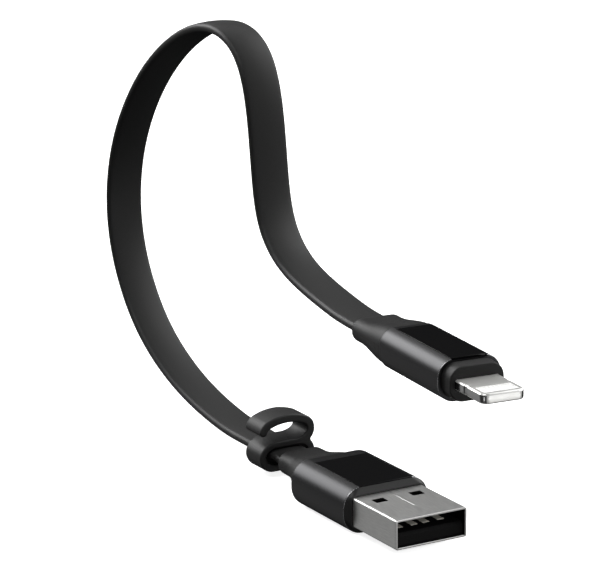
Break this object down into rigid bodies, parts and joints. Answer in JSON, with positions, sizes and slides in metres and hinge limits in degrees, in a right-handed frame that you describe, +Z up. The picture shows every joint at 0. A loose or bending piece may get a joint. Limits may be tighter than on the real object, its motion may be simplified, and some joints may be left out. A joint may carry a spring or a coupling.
{
  "type": "charging cable",
  "caption": "Short flat charging cable with a type A plug, a slim phone plug, rubber strain reliefs and a sliding rubber keeper.",
  "frame": {"origin": "middle of the type A sleeve's flat underside, on the surface that the cable stands on", "axes": "+X the way both plugs point, +Y across the flat cable, +Z up"},
  "size_m": [0.1244, 0.0177, 0.0683],
  "materials": {
    "shell_metal": "nickel-plated steel",
    "contact_metal": "gold-flashed copper alloy",
    "black_insert": "moulded, matt",
    "inner_plastic": "moulded, natural white",
    "dark_plastic": "moulded, satin",
    "dark_aluminium": "fine-blasted, black anodised",
    "gloss_black": "glossy black",
    "black_rubber": "soft rubber, matt",
    "black_jacket": "soft thermoplastic jacket, matt",
    "red_insulation": "red insulation",
    "white_insulation": "white insulation",
    "green_insulation": "green insulation",
    "black_insulation": "black insulation",
    "bright_metal": "polished nickel",
    "white_insert": "moulded, white",
    "pad_metal": "plated pads",
    "board_green": "green solder mask",
    "part_ceramic": "ceramic",
    "can_metal": "tinned sheet"
  },
  "bodies": {
    "cable": {"type_a_shell": "shell_metal", "type_a_tongue": "black_insert", "type_a_contact_power": "contact_metal", "type_a_contact_data_minus": "contact_metal", "type_a_contact_data_plus": "contact_metal", "type_a_contact_ground": "contact_metal", "type_a_inner_mould": "inner_plastic", "type_a_end_cap": "dark_plastic", "type_a_sleeve": "dark_aluminium", "type_a_top_plate": "gloss_black", "type_a_strain_relief": "black_rubber", "cable_jacket": "black_jacket", "wire_power": "red_insulation", "wire_data_minus": "white_insulation", "wire_data_plus": "green_insulation", "wire_ground": "black_insulation", "phone_tab_frame": "bright_metal", "phone_tab_insulator": "white_insert", "phone_contacts_top": "pad_metal", "phone_contacts_bottom": "pad_metal", "phone_board": "board_green", "phone_control_chip": "black_insert", "phone_board_parts": "part_ceramic", "phone_shield_can": "can_metal", "phone_inner_mould": "inner_plastic", "phone_end_cap": "dark_plastic", "phone_sleeve": "dark_aluminium", "phone_top_plate": "gloss_black", "phone_strain_relief": "black_rubber"},
    "keeper": {"keeper": "black_rubber"}
  },
  "joints": [
    {"name": "keeper_slide", "type": "slide", "parent": "cable", "child": "keeper", "axis": [-1, 0, 0], "range_m": [-0.003, 0.007]}
  ]
}
